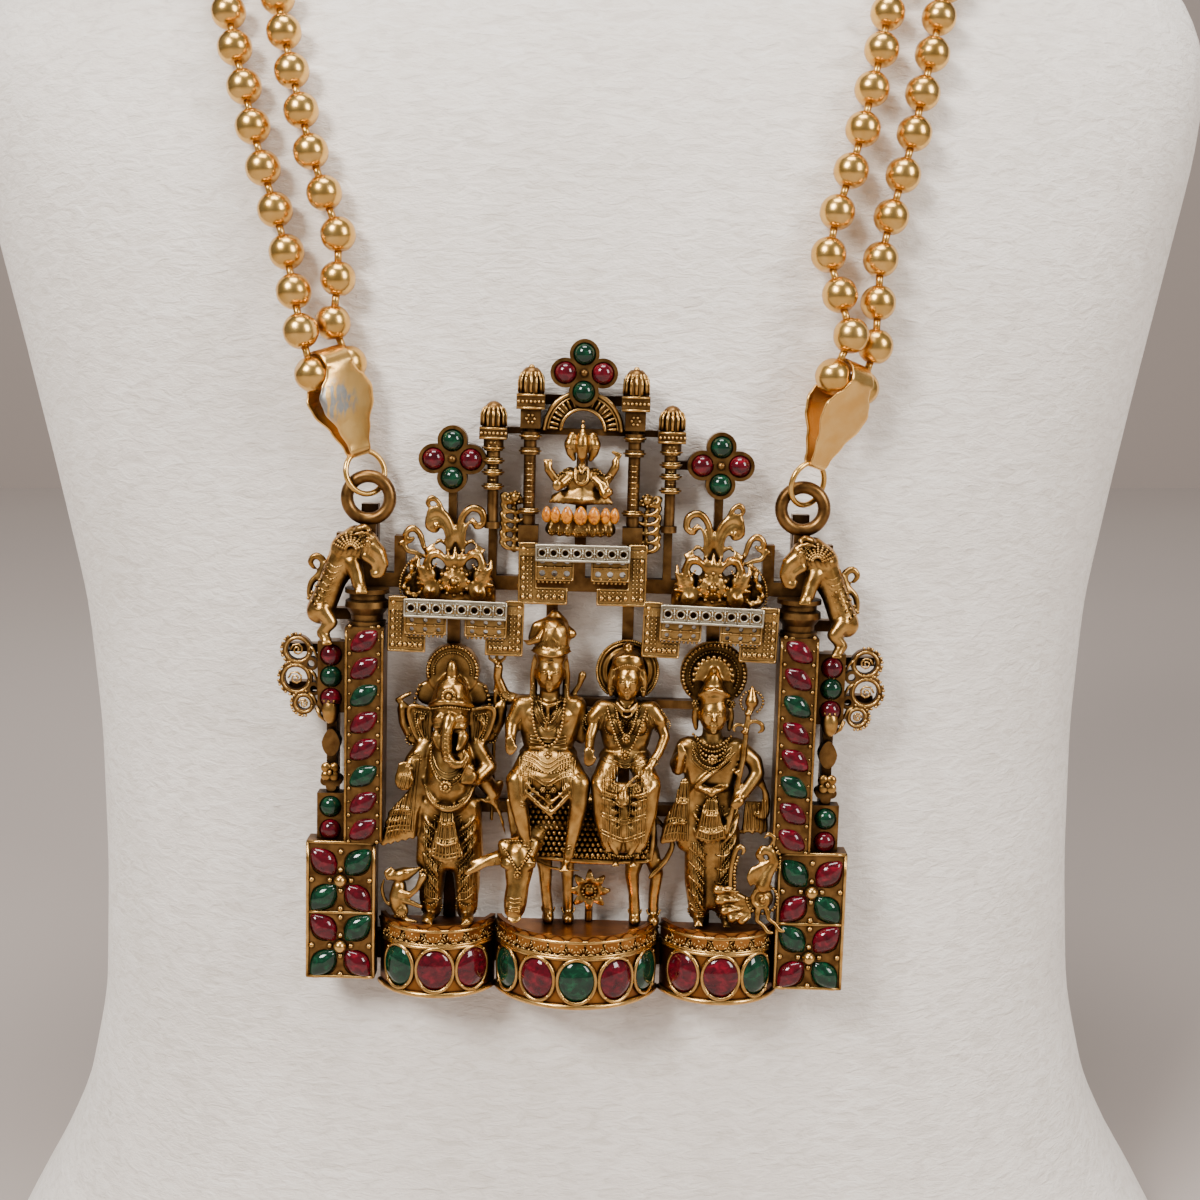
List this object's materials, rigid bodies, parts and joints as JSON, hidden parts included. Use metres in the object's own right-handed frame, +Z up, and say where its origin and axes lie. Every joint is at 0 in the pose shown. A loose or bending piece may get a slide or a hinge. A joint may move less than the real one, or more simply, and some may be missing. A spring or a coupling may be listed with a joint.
{
  "type": "temple jewellery necklace on neck bust",
  "caption": "Gold temple necklace with a stone-set shrine pendant of cast deity figures on a ball chain, shown on a plain neck bust.",
  "frame": {"origin": "centre of the bust's flat base, on the surface that it stands on", "axes": "+Z up along the bust, +X to the viewer's right, front of the chest and pendant towards -Y"},
  "size_m": [0.204, 0.1267, 0.29],
  "materials": {
    "bust_linen": "brushed linen",
    "chain_gold": "satin gold",
    "pendant_gold": "antique gold with dark recesses",
    "ruby_stone": "polished cabochon",
    "emerald_stone": "polished cabochon",
    "petal_enamel": "enamel"
  },
  "bodies": {
    "root": {"neck_bust": "bust_linen", "bead_string_left": "chain_gold", "bead_string_right": "chain_gold", "chain_wire_left": "chain_gold", "chain_wire_right": "chain_gold", "clasp": "chain_gold", "bail_left": "chain_gold", "bail_right": "chain_gold", "jump_ring_left": "chain_gold", "jump_ring_right": "chain_gold", "back_frame": "pendant_gold", "stone_column_left": "pendant_gold", "stone_column_right": "pendant_gold", "side_column_left": "pendant_gold", "side_column_right": "pendant_gold", "base_block_left": "pendant_gold", "base_block_right": "pendant_gold", "pedestal_left": "pendant_gold", "pedestal_centre": "pendant_gold", "pedestal_right": "pendant_gold", "balcony_left": "pendant_gold", "balcony_centre": "pendant_gold", "balcony_right": "pendant_gold", "shrine_pillars": "pendant_gold", "shrine_arch": "pendant_gold", "outer_pillars": "pendant_gold", "crown_flower_top": "pendant_gold", "crown_flower_left": "pendant_gold", "crown_flower_right": "pendant_gold", "scrollwork_left": "pendant_gold", "scrollwork_right": "pendant_gold", "lion_left": "pendant_gold", "lion_right": "pendant_gold", "filigree_left": "pendant_gold", "filigree_right": "pendant_gold", "figure_lotus": "pendant_gold", "lotus_petals": "petal_enamel", "figure_elephant": "pendant_gold", "figure_seated_left": "pendant_gold", "figure_seated_right": "pendant_gold", "figure_standing": "pendant_gold", "bull": "pendant_gold", "mouse": "pendant_gold", "peacock": "pendant_gold", "under_flower": "pendant_gold", "column_rubies": "ruby_stone", "column_emeralds": "emerald_stone", "side_rubies": "ruby_stone", "side_emeralds": "emerald_stone", "block_rubies": "ruby_stone", "block_emeralds": "emerald_stone", "pedestal_rubies": "ruby_stone", "pedestal_emeralds": "emerald_stone", "crown_rubies": "ruby_stone", "crown_emeralds": "emerald_stone"}
  },
  "joints": []
}
